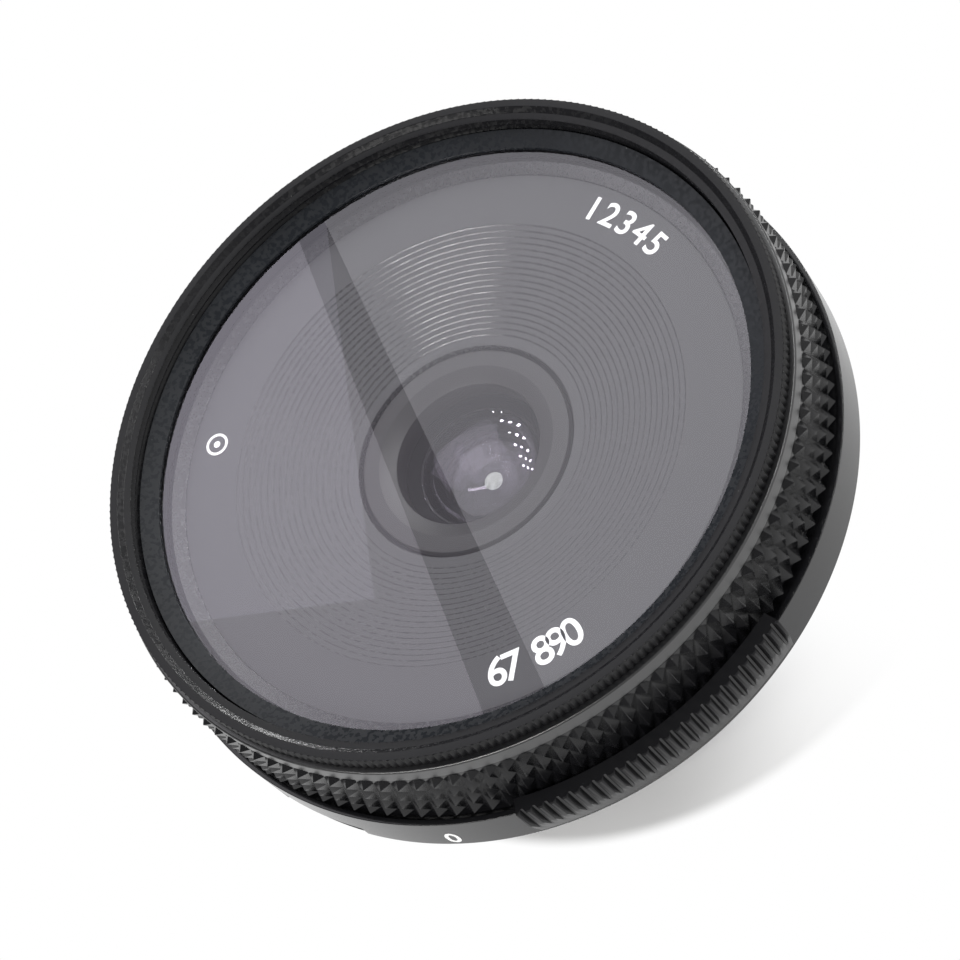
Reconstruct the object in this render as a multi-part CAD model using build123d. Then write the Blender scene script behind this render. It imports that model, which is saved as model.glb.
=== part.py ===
from build123d import *
import os
from math import cos, pi, radians, sin, sqrt

# A flat fisheye lens for a mirrorless camera, with a protective filter screwed into its front.
# Sizes are in millimetres and angles in degrees. +Z is the optical axis towards the subject, and
# z = 0 is the plane of the mount flange. The focus tab stands at -Y with the lens set to infinity.

# Outside heights, from the mount flange to the front rim
flange_height = 1.0
base_height = 4.2
focus_height = 6.8
band_height = 1.55
rim_height = 1.4

# Clearances
face_gap = 0.05
slide_fit = 0.05
seat_fit = 0.02
free_gap = 0.15
cut_overrun = 1.0

# Front thread: a free thread keeps its minor radius, an engaged pair meets at the nominal radius
thread_size = 55.0
thread_pitch = 0.75
thread_depth_share = 0.5413

# Filter
rim_wall = 1.35
rim_tooth_count = 292
rim_tooth_depth = 0.18
rim_chamfer = 0.05
rim_land = 0.75
mouth_chamfer_height = 0.4
mouth_chamfer_width = 0.4
filter_thread_sink = 0.62
filter_run_out_height = 0.48
filter_run_out_width = 0.1
filter_skirt_wall = 1.25
filter_skirt_gap = 0.3
glass_thickness = 1.1
glass_shelf_height = 0.3
glass_shelf_width = 0.7
filter_retainer_width = 0.7
filter_retainer_lip_height = 0.31
filter_retainer_brim_height = 0.4

# Front barrel and nameplate
band_wall = 1.75
band_chamfer = 0.12
barrel_wall = 0.75
barrel_floor_thickness = 0.9
barrel_floor_margin = 2.5
collar_width = 1.08
collar_edge = 0.05
collar_height = 0.45
nameplate_drop = 4.2
nameplate_inset = 3.4
nameplate_thickness = 0.9
nameplate_flat_width = 4.6
nameplate_fall = 2.05
nameplate_step_count = 19
nameplate_lip_width = 0.5
nameplate_lip_height = 0.7

# Focus ring
focus_turn_angle = 90.0
knurl_wall = 0.85
knurl_depth = 0.65
knurl_count = 126
knurl_row_count = 4
knurl_front_margin = 0.6
knurl_rear_margin = 0.15
land_inset = 0.1
land_height = 0.5
land_step = 0.05
focus_rear_step = 0.8
focus_flange_width = 2.2
focus_flange_gap = 0.7

# Focus tab
tab_angle = -90.0
tab_groove_count = 25
tab_groove_pitch_angle = 1.83
tab_groove_mouth_share = 0.66
tab_groove_floor_share = 0.18
tab_groove_depth = 0.37
tab_wall = 0.85
tab_foot_wall = 0.1
tab_rise = 0.87
tab_bevel_height = 2.6
tab_overlap = 1.75
tab_chamfer = 0.1
tab_bridge_thickness = 0.42
tab_lip_margin = 0.1
tab_neck_wall = 0.48

# Base ring
base_lip_width = 0.5
base_chamfer = 0.12
base_skirt_wall = 2.2
base_floor_height = 1.5
base_recess_depth = 0.6
base_boss_gap = 0.3
base_boss_width = 3.7
base_boss_height = 0.2
flat_angle = -150.0
flat_sweep_angle = 17.0
flat_depth = 0.22
flat_height = 1.35

# Helicoid ring and glide washer
web_height = 1.2
hub_wall = 2.55
hub_rise = 0.4
washer_thickness = 0.25
washer_margin = 0.1

# Pillars and guide pins
pillar_count = 3
pillar_r = 1.6
pillar_margin = 4.3
pillar_angle = 90.0
slot_clearance = 0.35
guide_pin_count = 2
guide_pin_r = 0.6
guide_pin_rise = 0.1

# Screws
screw_play = 0.02
drive_slot_width_share = 0.35
drive_slot_depth_share = 0.6
pillar_screw_r = 0.7
pillar_screw_head_r = 1.25
pillar_screw_head_height = 0.6
pillar_bite_share = 0.42
drive_screw_count = 3
drive_screw_angle = 30.0
drive_screw_r = 0.5
drive_screw_head_r = 0.9
drive_screw_head_height = 0.4
drive_bite_share = 0.75
mount_screw_count = 4
mount_screw_angle = 45.0
mount_screw_r = 0.85
mount_screw_head_r = 1.6
mount_screw_head_height = 0.8
mount_bite_share = 0.75
tab_screw_spread_angle = 16.0
tab_screw_r = 0.35
tab_screw_head_r = 0.6
tab_screw_head_height = 0.25
tab_screw_bite = 1.5

# Mount plate: a three-lug bayonet with a 46 mm throat
mount_bore_r = 20.2
mount_seat_depth = 0.9
mount_ledge_width = 0.6
spigot_wall = 1.4
spigot_length = 4.2
spigot_chamfer = 0.25
lug_depth = 1.3
lug_top = 1.4
lug_thickness = 1.4
lug_arc_angles = ((20.0, 62.0), (142.0, 54.0), (258.0, 48.0))
lock_slot_r = 1.3
lock_slot_angle = 0.0
dot_share = 0.9
dot_depth = 0.6
dot_height = 0.15
dot_angle = 90.0

# Rear baffle
baffle_thickness = 0.8
baffle_depth = 0.8
baffle_rib_offset = 5.0
baffle_rib_height = 0.4

# Lens cell
cell_front_r = 8.95
cell_front_gap = 0.45
cell_drop = 0.05
cell_thread_wall = 2.65
cell_flange_gap = 1.8
cell_flange_height = 0.85
cell_rear_wall = 1.8
cell_rear_gap = 0.6
cell_rear_lip = 0.12
cell_focus_travel = 0.35

# Central housing
housing_face_width = 1.35
housing_chamfer_width = 1.35
housing_chamfer_height = 0.55
housing_flange_height = 0.85

# Optics: heights along the axis and radii of the surfaces
front_dome_drop = 0.4
front_dome_rise = 3.05
front_seat_width = 1.15
front_element_edge = 1.1
front_hollow_radius = 4.9
front_hollow_share = 0.9
inner_element_r = 4.55
spacer_wall = 0.65
front_spacer_height = 0.65
second_dome_radius = 8.0
second_edge = 1.2
stop_shelf_height = 0.6
stop_shelf_width = 0.7
stop_thickness = 0.2
stop_hole_r = 0.8
doublet_gap = 0.02
doublet_front_edge = 0.5
doublet_height = 2.18
doublet_bond_radius = 9.0
rear_spacer_height = 0.5
rear_edge = 0.8
rear_dome_radius = 14.0
rear_retainer_wall = 0.95
rear_retainer_height = 0.45


def sag(radius, reach):
    return radius - sqrt(radius**2 - reach**2)


# Levels worked out from the heights above
base_bottom = flange_height
base_top = base_bottom + base_height
focus_bottom = base_top + face_gap
focus_top = focus_bottom + focus_height
band_bottom = focus_top + face_gap
band_top = band_bottom + band_height
rim_bottom = band_top + face_gap
rim_top = rim_bottom + rim_height

nameplate_top = rim_top - nameplate_drop
nameplate_seat = nameplate_top - nameplate_thickness
nameplate_edge = nameplate_top - nameplate_fall
barrel_floor_bottom = nameplate_seat - barrel_floor_thickness

filter_thread_end = rim_bottom - filter_thread_sink
skirt_bottom = nameplate_top + filter_skirt_gap
glass_bottom = skirt_bottom + glass_shelf_height
glass_top = glass_bottom + glass_thickness

mount_thickness = flange_height + mount_seat_depth
floor_bottom = mount_thickness
floor_top = floor_bottom + base_floor_height
recess_floor = base_top - base_recess_depth
boss_top = base_top + base_boss_height
washer_top = boss_top + washer_thickness
web_bottom = washer_top + face_gap
web_top = web_bottom + web_height
focus_flange_top = barrel_floor_bottom - focus_flange_gap
knurl_bottom = focus_bottom + land_height
knurl_first_row = knurl_bottom + knurl_rear_margin
knurl_last_row = focus_top - knurl_front_margin
bridge_bottom = focus_bottom + face_gap
bridge_top = bridge_bottom + tab_bridge_thickness
tab_bottom = base_bottom + tab_rise
tab_top = focus_bottom + tab_overlap
lip_top = focus_bottom - seat_fit
lip_bottom = recess_floor + free_gap

housing_top = nameplate_edge - cell_drop
cell_top = housing_top - housing_flange_height
cell_shoulder = nameplate_edge - nameplate_lip_height - cell_focus_travel - free_gap
cell_flange_bottom = floor_top + free_gap
cell_flange_top = cell_flange_bottom + cell_flange_height
hub_bottom = cell_flange_top + cell_focus_travel + free_gap
hub_top = web_top + hub_rise
guide_pin_top = hub_bottom + guide_pin_rise

# Radii worked out from the front thread outwards
thread_r = thread_size / 2
thread_wall_r = thread_r - thread_depth_share * thread_pitch
rim_r = thread_r + rim_wall
skirt_r = thread_r - slide_fit
pocket_r = skirt_r - filter_skirt_wall
filter_retainer_r = pocket_r - slide_fit - filter_retainer_width
band_r = thread_r + band_wall
barrel_skirt_r = thread_r + barrel_wall
nameplate_r = thread_r - nameplate_inset
nameplate_flat_r = nameplate_r - nameplate_flat_width
focus_front_bore_r = barrel_skirt_r + slide_fit
knurl_root_r = focus_front_bore_r + knurl_wall
knurl_r = knurl_root_r + knurl_depth
land_r = knurl_root_r - land_inset
focus_rear_bore_r = focus_front_bore_r - focus_rear_step
focus_flange_r = focus_rear_bore_r - focus_flange_width
web_r = focus_rear_bore_r - slide_fit
tab_lip_inner_r = focus_rear_bore_r + tab_lip_margin
tab_hook_r = land_r + seat_fit
tab_neck_r = tab_hook_r + tab_neck_wall
recess_r = tab_neck_r + free_gap
base_r = recess_r + base_lip_width
base_boss_r = focus_rear_bore_r - base_boss_gap
base_boss_inner_r = base_boss_r - base_boss_width
tab_inner_r = base_r + free_gap
tab_front_r = knurl_r + slide_fit
tab_foot_r = tab_inner_r + tab_foot_wall
tab_crest_r = tab_inner_r + tab_wall
tab_root_r = tab_crest_r - tab_groove_depth
tab_span_angle = tab_groove_count * tab_groove_pitch_angle

# Radii worked out from the central housing and the pillars outwards
nameplate_hole_r = cell_front_r + cell_front_gap
helicoid_r = cell_front_r + cell_thread_wall
hub_r = helicoid_r + slide_fit + hub_wall
pillar_circle_r = focus_flange_r - pillar_margin
cell_flange_r = pillar_circle_r - pillar_r - cell_flange_gap
barrel_floor_r = pillar_circle_r - barrel_floor_margin
inner_pocket_r = inner_element_r + slide_fit
stop_shelf_r = inner_pocket_r - stop_shelf_width
cell_rear_r = inner_pocket_r + cell_rear_wall
cell_passage_r = cell_rear_r + cell_rear_gap
baffle_rib_r = cell_passage_r + baffle_rib_offset
housing_face_r = cell_front_r - housing_face_width
housing_hole_r = housing_face_r - housing_chamfer_width
front_element_r = housing_hole_r + front_seat_width
front_dome_radius = (front_element_r**2 + front_dome_rise**2) / (2 * front_dome_rise)
front_hollow_r = front_hollow_share * front_hollow_radius
spacer_hole_r = inner_element_r - spacer_wall
rear_retainer_r = inner_element_r - rear_retainer_wall

# Radii of the mount
mount_r = base_r - base_skirt_wall
spigot_r = mount_bore_r + spigot_wall
lug_r = spigot_r + lug_depth
dot_r = dot_share * flange_height / 2

# Places of the screws and pins between the walls that hold them
drive_screw_circle_r = (focus_flange_r + web_r) / 2
mount_screw_circle_r = (base_boss_inner_r + base_boss_r) / 2
tab_screw_circle_r = (tab_lip_inner_r + tab_hook_r) / 2
lock_slot_circle_r = (spigot_r + mount_r) / 2
guide_pin_circle_r = (hub_r + cell_flange_r) / 2

# Screws: shank radius, head radius, head height, length
pillar_bite = pillar_bite_share * (barrel_floor_bottom - floor_top)
pillar_screw_top = (pillar_screw_r, pillar_screw_head_r, pillar_screw_head_height)
pillar_screw = (*pillar_screw_top, base_floor_height + pillar_bite)
barrel_screw = (*pillar_screw_top, barrel_floor_thickness + pillar_bite)
drive_bite = drive_bite_share * (focus_flange_top - web_top)
drive_screw = (drive_screw_r, drive_screw_head_r, drive_screw_head_height, web_height + drive_bite)
mount_bite = mount_bite_share * (boss_top - floor_bottom)
mount_screw = (mount_screw_r, mount_screw_head_r, mount_screw_head_height, mount_thickness + mount_bite)
tab_bite = lip_top - lip_bottom + tab_screw_bite
tab_screw = (tab_screw_r, tab_screw_head_r, tab_screw_head_height, tab_bite)

# Optics, from the front to the rear
dome_vertex = housing_top - front_dome_drop
front_rim = dome_vertex - front_dome_rise
front_seat = front_rim - front_element_edge
spacer_bottom = front_seat - front_spacer_height
second_bulge = sag(second_dome_radius, inner_element_r) - sag(second_dome_radius, spacer_hole_r)
second_rim = spacer_bottom - seat_fit - second_bulge
second_seat = second_rim - second_edge
stop_top = second_seat - stop_shelf_height
stop_bottom = stop_top - stop_thickness
doublet_top = stop_bottom - doublet_gap
doublet_bottom = doublet_top - doublet_height
rear_top = doublet_bottom - rear_spacer_height
rear_rim = rear_top - rear_edge
rear_bulge = sag(rear_dome_radius, inner_element_r) - sag(rear_dome_radius, rear_retainer_r)
rear_retainer_top = rear_rim - rear_bulge - seat_fit
rear_retainer_bottom = rear_retainer_top - rear_retainer_height
cell_bottom = rear_retainer_bottom - cell_rear_lip


def turned(*points, arc=360.0):
    """A solid turned about the optical axis from (radius, height) points."""
    outline = Polyline(*[(r, 0, z) for r, z in points], close=True)
    return revolve(make_face(outline), axis=Axis.Z, revolution_arc=arc)


def tube(outer, inner, bottom, top):
    return turned((inner, bottom), (outer, bottom), (outer, top), (inner, top))


def on_circle(radius, angle, z=0.0):
    return Location((radius * cos(radians(angle)), radius * sin(radians(angle)), z), (0, 0, angle))


def spread(shape, count, radius, start, z=0.0):
    """Copies of a shape spread evenly round a circle."""
    return [on_circle(radius, start + 360 * k / count, z) * shape for k in range(count)]


def screw(size):
    """A countersunk screw whose head lies at z = 0 and whose shank points along +Z."""
    shank_r, head_r, head_height, length = size
    body = turned((0, 0), (head_r, 0), (shank_r, head_height), (shank_r, length), (0, length))
    slot_depth = 2 * drive_slot_depth_share * head_height
    slot = Box(2 * shank_r, drive_slot_width_share * head_r, slot_depth)
    return body - slot - Rot(0, 0, 90) * slot


def screw_hole(size):
    """The countersunk hole for a screw, open past its head."""
    shank_r, head_r, head_height, length = size
    shank = shank_r + screw_play
    head = head_r + screw_play
    end = length + screw_play
    mouth = -cut_overrun
    return turned((0, mouth), (head, mouth), (head, 0), (shank, head_height), (shank, end), (0, end))


def surface(vertex, radius, reach):
    """Half a lens surface from the axis outwards. A positive radius bulges towards the front."""
    side = 1 if radius > 0 else -1
    middle = reach / 2
    middle_z = vertex - side * sag(abs(radius), middle)
    end_z = vertex - side * sag(abs(radius), reach)
    return ThreePointArc((0, 0, vertex), (middle, 0, middle_z), (reach, 0, end_z))


def lens_element(front, rear, edge_r):
    """A glass element between two surfaces, each an arc or a flat line from the axis outwards."""
    corners = [front @ 1]
    for corner in (Vector(edge_r, 0, (front @ 1).Z), Vector(edge_r, 0, (rear @ 1).Z), rear @ 1):
        if (corner - corners[-1]).length > seat_fit:
            corners.append(corner)
    rim = Polyline(*corners)
    axis = Line(rear @ 0, front @ 0)
    return revolve(make_face([front, rim, rear, axis]), axis=Axis.Z)


def toothed_outline(tip_r, root_r, count):
    """The outline of a straight knurl, one point on each tip and each root."""
    points = []
    for step in range(2 * count):
        radius = tip_r if step % 2 == 0 else root_r
        angle = pi * step / count
        points.append((radius * cos(angle), radius * sin(angle)))
    return make_face(Polyline(*points, close=True))


# Filter
def filter_ring():
    rim = extrude(toothed_outline(rim_r, rim_r - rim_tooth_depth, rim_tooth_count), rim_height)
    rim = Pos(0, 0, rim_bottom) * rim
    blank = turned(
        (0, rim_bottom),
        (rim_r - rim_chamfer, rim_bottom),
        (rim_r, rim_bottom + rim_chamfer),
        (rim_r, rim_top - rim_chamfer),
        (rim_r - rim_chamfer, rim_top),
        (0, rim_top),
    )
    skirt = tube(skirt_r, 0, skirt_bottom, rim_bottom)
    shelf_r = pocket_r - glass_shelf_width
    mouth_r = rim_r - rim_land
    bore = turned(
        (0, skirt_bottom - cut_overrun),
        (shelf_r, skirt_bottom - cut_overrun),
        (shelf_r, glass_bottom),
        (pocket_r, glass_bottom),
        (pocket_r, filter_thread_end),
        (thread_wall_r - filter_run_out_width, filter_thread_end),
        (thread_wall_r, filter_thread_end + filter_run_out_height),
        (thread_wall_r, rim_top - mouth_chamfer_height),
        (mouth_r - mouth_chamfer_width, rim_top - mouth_chamfer_height),
        (mouth_r, rim_top),
        (mouth_r, rim_top + cut_overrun),
        (0, rim_top + cut_overrun),
    )
    return (rim & blank) + skirt - bore


def filter_glass():
    return tube(pocket_r - slide_fit, 0, glass_bottom, glass_top)


def filter_retaining_ring():
    """A ring in the glass's pocket with a conical top, whose brim reaches out to the front thread."""
    bottom = glass_top + seat_fit
    brim_bottom = filter_thread_end + seat_fit
    outer = pocket_r - slide_fit
    brim_r = thread_wall_r - filter_run_out_width - slide_fit
    return turned(
        (filter_retainer_r, bottom),
        (outer, bottom),
        (outer, brim_bottom),
        (brim_r, brim_bottom),
        (brim_r, brim_bottom + filter_retainer_brim_height),
        (filter_retainer_r, bottom + filter_retainer_lip_height),
    )


# Front barrel and nameplate
def front_barrel():
    seat_r = nameplate_r + seat_fit
    collar_r = seat_r + collar_width
    body = turned(
        (thread_r, nameplate_top),
        (collar_r, nameplate_top),
        (collar_r, nameplate_top + collar_height),
        (seat_r, nameplate_top + collar_edge),
        (seat_r, nameplate_seat),
        (barrel_floor_r, nameplate_seat),
        (barrel_floor_r, barrel_floor_bottom),
        (barrel_skirt_r, barrel_floor_bottom),
        (barrel_skirt_r, band_bottom),
        (band_r - band_chamfer, band_bottom),
        (band_r, band_bottom + band_chamfer),
        (band_r, band_top - band_chamfer),
        (band_r - band_chamfer, band_top),
        (thread_r, band_top),
    )
    hole = Rot(180, 0, 0) * screw_hole(barrel_screw)
    return body - spread(hole, pillar_count, pillar_circle_r, pillar_angle, nameplate_seat)


def nameplate():
    """A flat rim and a cone of small steps that falls towards the central housing."""
    inner = nameplate_hole_r + nameplate_lip_width
    step_width = (nameplate_flat_r - inner) / nameplate_step_count
    step_drop = nameplate_fall / nameplate_step_count
    points = [(nameplate_r, nameplate_seat), (nameplate_r, nameplate_top), (nameplate_flat_r, nameplate_top)]
    for step in range(nameplate_step_count):
        radius = nameplate_flat_r - step * step_width
        height = nameplate_top - step * step_drop
        points.append((radius - step_drop / 2, height - step_drop))
        points.append((radius - step_width, height - step_drop))
    points.append((nameplate_hole_r, nameplate_edge))
    points.append((nameplate_hole_r, nameplate_edge - nameplate_lip_height))
    points.append((barrel_floor_r - nameplate_lip_width, nameplate_seat))
    return turned(*points)


def barrel_screws():
    part = Rot(180, 0, 0) * screw(barrel_screw)
    return Compound(spread(part, pillar_count, pillar_circle_r, pillar_angle, nameplate_seat))


# Focus ring
def drive_screw_places(shape):
    return spread(shape, drive_screw_count, drive_screw_circle_r, drive_screw_angle, web_bottom)


def knurl_corner(radius, half_step, z):
    angle = pi * half_step / knurl_count
    return Vector(radius * cos(angle), radius * sin(angle), z)


def triangle(*corners):
    return Face(Wire.make_polygon(corners, close=True))


def knurl_faces():
    """Pyramids in staggered rows, closed towards both ends by flat triangles at the root."""
    row_step = (knurl_last_row - knurl_first_row) / (knurl_row_count - 1)
    rows = [knurl_first_row + row * row_step for row in range(knurl_row_count)]
    faces = []
    for row, z in enumerate(rows):
        below = knurl_bottom if row == 0 else rows[row - 1]
        above = focus_top if row == knurl_row_count - 1 else rows[row + 1]
        for step in range(knurl_count):
            centre = 2 * step + row % 2
            tip = knurl_corner(knurl_r, centre, z)
            left = knurl_corner(knurl_root_r, centre - 1, z)
            right = knurl_corner(knurl_root_r, centre + 1, z)
            upper = knurl_corner(knurl_root_r, centre, above)
            lower = knurl_corner(knurl_root_r, centre, below)
            faces += [triangle(tip, right, upper), triangle(tip, upper, left)]
            faces += [triangle(tip, left, lower), triangle(tip, lower, right)]
            if above == focus_top:
                faces.append(triangle(right, knurl_corner(knurl_root_r, centre + 2, above), upper))
            if below == knurl_bottom:
                faces.append(triangle(right, lower, knurl_corner(knurl_root_r, centre + 2, below)))
    return faces


def knurl_end(first, z, bore_r):
    """The flat ring between the knurl's root polygon and a round edge."""
    corners = [knurl_corner(knurl_root_r, 2 * step + first, z) for step in range(knurl_count)]
    outer = Wire.make_polygon(corners, close=True)
    inner = Wire.make_circle(bore_r, Plane((0, 0, z)))
    return Face(outer, [inner])


def focus_ring():
    backing_r = land_r - land_step
    core = turned(
        (focus_rear_bore_r, focus_bottom),
        (land_r, focus_bottom),
        (land_r, knurl_bottom),
        (backing_r, knurl_bottom),
        (backing_r, focus_top),
        (focus_front_bore_r, focus_top),
        (focus_front_bore_r, focus_flange_top),
        (focus_flange_r, focus_flange_top),
        (focus_flange_r, web_top),
        (focus_rear_bore_r, web_top),
    )
    core -= drive_screw_places(screw_hole(drive_screw))
    core -= tab_screw_places(screw_hole(tab_screw))
    backing = [f for f in core.faces() if f.bounding_box().max.X > backing_r - seat_fit]
    backing = [f for f in backing if f.bounding_box().min.Z > knurl_bottom - seat_fit]
    kept = [f for f in core.faces() if f not in backing]
    top_first = (knurl_row_count - 1) % 2
    ends = [knurl_end(top_first, focus_top, focus_front_bore_r), knurl_end(0, knurl_bottom, land_r)]
    return Solid(Shell(kept + knurl_faces() + ends)).fix()


# Focus tab
def tab_screw_places(shape):
    angles = [tab_angle + side * tab_screw_spread_angle for side in (-1, 0, 1)]
    return [on_circle(tab_screw_circle_r, angle, lip_bottom) * shape for angle in angles]


def tab_groove():
    """A tapered groove along +X, a little longer than the tab is high."""
    mouth_half = radians(tab_groove_mouth_share * tab_groove_pitch_angle / 2)
    floor_half = radians(tab_groove_floor_share * tab_groove_pitch_angle / 2)
    open_r = tab_crest_r + tab_groove_depth
    open_half = 2 * mouth_half - floor_half
    points = [(tab_root_r, -floor_half), (open_r, -open_half), (open_r, open_half), (tab_root_r, floor_half)]
    outline = Polyline(*[(r * cos(angle), r * sin(angle)) for r, angle in points], close=True)
    height = tab_top - tab_bottom + 2 * cut_overrun
    return Pos(0, 0, tab_bottom - cut_overrun) * extrude(make_face(outline), height)


def focus_tab():
    """A hooked plate: a lip under the focus ring, a bridge over the base ring's edge and a grooved wall."""
    section = (
        (tab_lip_inner_r, lip_bottom),
        (tab_neck_r, lip_bottom),
        (tab_neck_r, bridge_bottom),
        (tab_inner_r, bridge_bottom),
        (tab_inner_r, tab_bottom),
        (tab_foot_r, tab_bottom),
        (tab_crest_r, tab_bottom + tab_bevel_height),
        (tab_crest_r, tab_top - tab_chamfer),
        (tab_crest_r - tab_chamfer, tab_top),
        (tab_front_r, tab_top),
        (tab_front_r, bridge_top),
        (tab_hook_r, bridge_top),
        (tab_hook_r, lip_top),
        (tab_lip_inner_r, lip_top),
    )
    start_angle = tab_angle - tab_span_angle / 2
    plate = Rot(0, 0, start_angle) * turned(*section, arc=tab_span_angle)
    first = start_angle + tab_groove_pitch_angle / 2
    grooves = [Rot(0, 0, first + k * tab_groove_pitch_angle) * tab_groove() for k in range(tab_groove_count)]
    return plate - grooves - tab_screw_places(screw_hole(tab_screw))


def tab_screws():
    return Compound(tab_screw_places(screw(tab_screw)))


# Helicoid ring, its washer and its screws
def arc_slot(radius, half_width, start, sweep, bottom, top):
    """A slot along a circle, with round ends at its start and its end."""
    low = bottom - cut_overrun
    high = top + cut_overrun
    inner = radius - half_width
    outer = radius + half_width
    middle = Rot(0, 0, start) * turned((inner, low), (outer, low), (outer, high), (inner, high), arc=sweep)
    end = tube(half_width, 0, low, high)
    return middle + on_circle(radius, start) * end + on_circle(radius, start + sweep) * end


def helicoid_ring():
    bore = helicoid_r + slide_fit
    body = turned(
        (bore, hub_bottom),
        (hub_r, hub_bottom),
        (hub_r, web_bottom),
        (web_r, web_bottom),
        (web_r, web_top),
        (hub_r, web_top),
        (hub_r, hub_top),
        (bore, hub_top),
    )
    half_width = pillar_r + slot_clearance
    for k in range(pillar_count):
        start = pillar_angle + 360 * k / pillar_count - focus_turn_angle
        body -= arc_slot(pillar_circle_r, half_width, start, focus_turn_angle, web_bottom, web_top)
    return body - drive_screw_places(screw_hole(drive_screw))


def drive_screws():
    return Compound(drive_screw_places(screw(drive_screw)))


def glide_washer():
    return tube(base_boss_r - washer_margin, base_boss_inner_r + washer_margin, boss_top, washer_top)


# Base ring, pillars and pins
def base_ring():
    seat_r = mount_r + slide_fit
    body = turned(
        (cell_passage_r, floor_bottom),
        (seat_r, floor_bottom),
        (seat_r, base_bottom),
        (base_r - base_chamfer, base_bottom),
        (base_r, base_bottom + base_chamfer),
        (base_r, base_top),
        (recess_r, base_top),
        (recess_r, recess_floor),
        (base_boss_r, recess_floor),
        (base_boss_r, boss_top),
        (base_boss_inner_r, boss_top),
        (base_boss_inner_r, floor_top),
        (cell_passage_r, floor_top),
    )
    body -= spread(screw_hole(pillar_screw), pillar_count, pillar_circle_r, pillar_angle, floor_bottom)
    body -= spread(screw_hole(mount_screw), mount_screw_count, mount_screw_circle_r, mount_screw_angle)
    pin_hole = tube(guide_pin_r + screw_play, 0, floor_bottom - cut_overrun, floor_top + cut_overrun)
    body -= spread(pin_hole, guide_pin_count, guide_pin_circle_r, 0)
    flat_bottom = base_bottom - cut_overrun
    flat_top = base_bottom + flat_height
    flat_r = base_r - flat_depth
    outer = base_r + cut_overrun
    section = ((flat_r, flat_bottom), (outer, flat_bottom), (outer, flat_top), (flat_r, flat_top))
    return body - Rot(0, 0, flat_angle - flat_sweep_angle / 2) * turned(*section, arc=flat_sweep_angle)


def pillars():
    post = tube(pillar_r, 0, floor_top, barrel_floor_bottom)
    low = Pos(0, 0, floor_bottom) * screw_hole(pillar_screw)
    high = Pos(0, 0, nameplate_seat) * Rot(180, 0, 0) * screw_hole(barrel_screw)
    return Compound(spread(post - low - high, pillar_count, pillar_circle_r, pillar_angle))


def pillar_screws():
    return Compound(spread(screw(pillar_screw), pillar_count, pillar_circle_r, pillar_angle, floor_bottom))


def guide_pins():
    pin = tube(guide_pin_r, 0, floor_bottom, guide_pin_top)
    return Compound(spread(pin, guide_pin_count, guide_pin_circle_r, 0))


# Mount plate and what is fixed to it
def mount_dot_body(radius, height):
    """A round bead whose axis points outwards from the mount plate's edge."""
    bead = tube(radius, 0, -dot_depth, height)
    return on_circle(mount_r, dot_angle, flange_height / 2) * (Rot(0, 90, 0) * bead)


def mount_plate():
    ledge_r = mount_bore_r - mount_ledge_width
    body = turned(
        (mount_bore_r, -spigot_length),
        (spigot_r - spigot_chamfer, -spigot_length),
        (spigot_r, spigot_chamfer - spigot_length),
        (spigot_r, 0),
        (mount_r, 0),
        (mount_r, mount_thickness),
        (ledge_r, mount_thickness),
        (ledge_r, -baffle_depth),
        (mount_bore_r, -baffle_depth),
    )
    low = -lug_top - lug_thickness
    for start, sweep in lug_arc_angles:
        lug = turned((spigot_r, low), (lug_r, low), (lug_r, -lug_top), (spigot_r, -lug_top), arc=sweep)
        body += Rot(0, 0, start) * lug
    body -= spread(screw_hole(mount_screw), mount_screw_count, mount_screw_circle_r, mount_screw_angle)
    lock = tube(lock_slot_r, 0, -cut_overrun, mount_thickness + cut_overrun)
    body -= on_circle(lock_slot_circle_r, lock_slot_angle) * lock
    return body - mount_dot_body(dot_r + seat_fit, cut_overrun)


def mount_screws():
    return Compound(spread(screw(mount_screw), mount_screw_count, mount_screw_circle_r, mount_screw_angle))


def mount_dot():
    return mount_dot_body(dot_r, dot_height)


def rear_baffle():
    """A black ring round the cell's rear tube, with one raised rib against stray light."""
    top = -baffle_depth
    bottom = top - baffle_thickness
    rib_bottom = bottom - baffle_rib_height
    rib_outer = baffle_rib_r + baffle_rib_height
    return turned(
        (cell_passage_r, bottom),
        (baffle_rib_r, bottom),
        (baffle_rib_r, rib_bottom),
        (rib_outer, rib_bottom),
        (rib_outer, bottom),
        (mount_bore_r - seat_fit, bottom),
        (mount_bore_r - seat_fit, top),
        (cell_passage_r, top),
    )


# Optics and the cell that holds them
def front_retainer():
    """The central housing's front: a flat rim, a cone into the opening and a threaded sleeve."""
    sleeve_bottom = dome_vertex - sag(front_dome_radius, housing_hole_r) + seat_fit
    return turned(
        (housing_hole_r, sleeve_bottom),
        (front_element_r, sleeve_bottom),
        (front_element_r, cell_top),
        (cell_front_r, cell_top),
        (cell_front_r, housing_top),
        (housing_face_r, housing_top),
        (housing_hole_r, housing_top - housing_chamfer_height),
    )


def front_element():
    front = surface(dome_vertex, front_dome_radius, front_element_r)
    rear = surface(front_seat + sag(front_hollow_radius, front_hollow_r), front_hollow_radius, front_hollow_r)
    return lens_element(front, rear, front_element_r)


def second_element():
    vertex = second_rim + sag(second_dome_radius, inner_element_r)
    front = surface(vertex, second_dome_radius, inner_element_r)
    return lens_element(front, Line((0, 0, second_seat), (inner_element_r, 0, second_seat)), inner_element_r)


def front_spacer():
    return tube(inner_element_r, spacer_hole_r, spacer_bottom, front_seat - seat_fit)


def aperture_stop():
    return tube(inner_element_r, stop_hole_r, stop_bottom, stop_top)


def bond_surface():
    vertex = doublet_top - doublet_front_edge - sag(doublet_bond_radius, inner_element_r)
    return surface(vertex, -doublet_bond_radius, inner_element_r)


def doublet_front_element():
    front = Line((0, 0, doublet_top), (inner_element_r, 0, doublet_top))
    return lens_element(front, bond_surface(), inner_element_r)


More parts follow.
